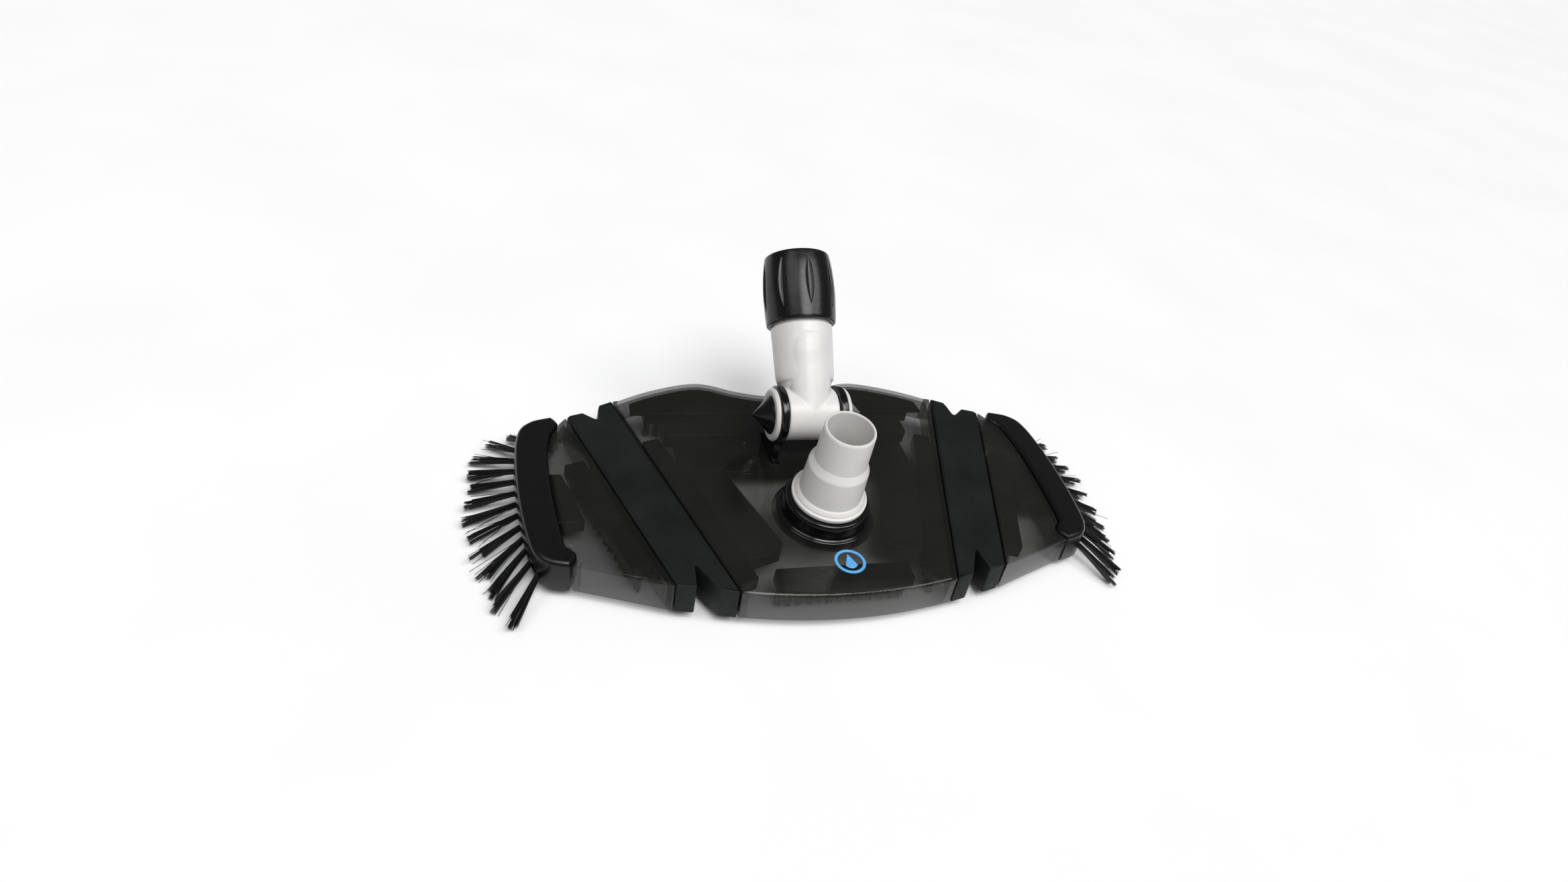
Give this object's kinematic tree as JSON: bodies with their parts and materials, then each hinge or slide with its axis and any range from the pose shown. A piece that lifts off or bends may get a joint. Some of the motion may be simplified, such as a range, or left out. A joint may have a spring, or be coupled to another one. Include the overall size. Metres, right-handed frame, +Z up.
{
  "type": "manual pool vacuum head",
  "caption": "Wide three-part pool vacuum head with tinted shell, rubber flex bands, side brushes, swivelling stepped hose connector and tilting pole handle.",
  "frame": {"origin": "middle of the footprint, on the floor under the bristle tips", "axes": "+X to the right across the width, +Y to the rear (the pole leans that way), +Z up"},
  "size_m": [0.4326, 0.2261, 0.1433],
  "materials": {
    "smoke_plastic": "smoke-tinted clear plastic, glossy",
    "band_rubber": "matte black rubber",
    "satin_black": "satin black",
    "gloss_black": "glossy black",
    "white_plastic": "satin white",
    "nylon_bristle": "black nylon filaments",
    "weight_iron": "black coated iron",
    "stainless_steel": "brushed",
    "badge_blue": "printed blue"
  },
  "bodies": {
    "head": {"center_shell": "smoke_plastic", "badge": "badge_blue", "pivot_bracket": "gloss_black", "bracket_screw_1": "stainless_steel", "bracket_screw_2": "stainless_steel", "bracket_screw_3": "stainless_steel", "bracket_screw_4": "stainless_steel", "rear_weight": "weight_iron", "rear_brush_bar": "satin_black", "rear_bristles": "nylon_bristle", "front_brush_bar": "satin_black", "front_bristles": "nylon_bristle", "swivel_collar": "gloss_black", "swivel_seal": "band_rubber", "left_inner_weight": "weight_iron", "left_inner_brush_bar": "satin_black", "left_inner_bristles": "nylon_bristle", "left_band_inner": "band_rubber", "right_inner_weight": "weight_iron", "right_inner_brush_bar": "satin_black", "right_inner_bristles": "nylon_bristle", "right_band_inner": "band_rubber"},
    "left_wing": {"left_band_outer": "band_rubber", "left_wing_shell": "smoke_plastic", "left_wing_weight": "weight_iron", "left_wing_brush_bar": "satin_black", "left_wing_bristles": "nylon_bristle", "left_end_cap": "satin_black", "left_side_brush_strip": "satin_black", "left_side_bristles": "nylon_bristle", "left_cap_screw_1": "stainless_steel", "left_cap_screw_2": "stainless_steel"},
    "right_wing": {"right_band_outer": "band_rubber", "right_wing_shell": "smoke_plastic", "right_wing_weight": "weight_iron", "right_wing_brush_bar": "satin_black", "right_wing_bristles": "nylon_bristle", "right_end_cap": "satin_black", "right_side_brush_strip": "satin_black", "right_side_bristles": "nylon_bristle", "right_cap_screw_1": "stainless_steel", "right_cap_screw_2": "stainless_steel"},
    "handle": {"handle_tee": "white_plastic", "axle": "stainless_steel", "left_pivot_bush": "white_plastic", "right_pivot_bush": "white_plastic", "left_axle_cap": "gloss_black", "right_axle_cap": "gloss_black", "collet": "white_plastic"},
    "lock_collar": {"lock_collar": "satin_black"},
    "hose_connector": {"hose_connector": "white_plastic", "swivel_retainer": "satin_black"}
  },
  "joints": [
    {"name": "left_flex", "type": "hinge", "parent": "head", "child": "left_wing", "pos_m": [-0.0915, -0.08157, 0.027], "axis": [-0.2771, 0.9608, 0], "range_deg": [-8, 15], "stiffness_Nm_per_rad": 4},
    {"name": "right_flex", "type": "hinge", "parent": "head", "child": "right_wing", "pos_m": [0.0915, -0.08157, 0.027], "axis": [-0.2771, -0.9608, 0], "range_deg": [-8, 15], "stiffness_Nm_per_rad": 4},
    {"name": "handle_tilt", "type": "hinge", "parent": "head", "child": "handle", "pos_m": [0, 0.01843, 0.05675], "axis": [-1, 0, 0], "range_deg": [-65, 40]},
    {"name": "collar_twist", "type": "hinge", "parent": "handle", "child": "lock_collar", "pos_m": [0, 0.0804, 0.11196], "axis": [0, 0.7466, 0.6652], "range_deg": [0, 90]},
    {"name": "connector_swivel", "type": "hinge", "parent": "head", "child": "hose_connector", "pos_m": [0, -0.04247, 0.027], "axis": [0, -0.0767, 0.9971], "continuous": true}
  ]
}
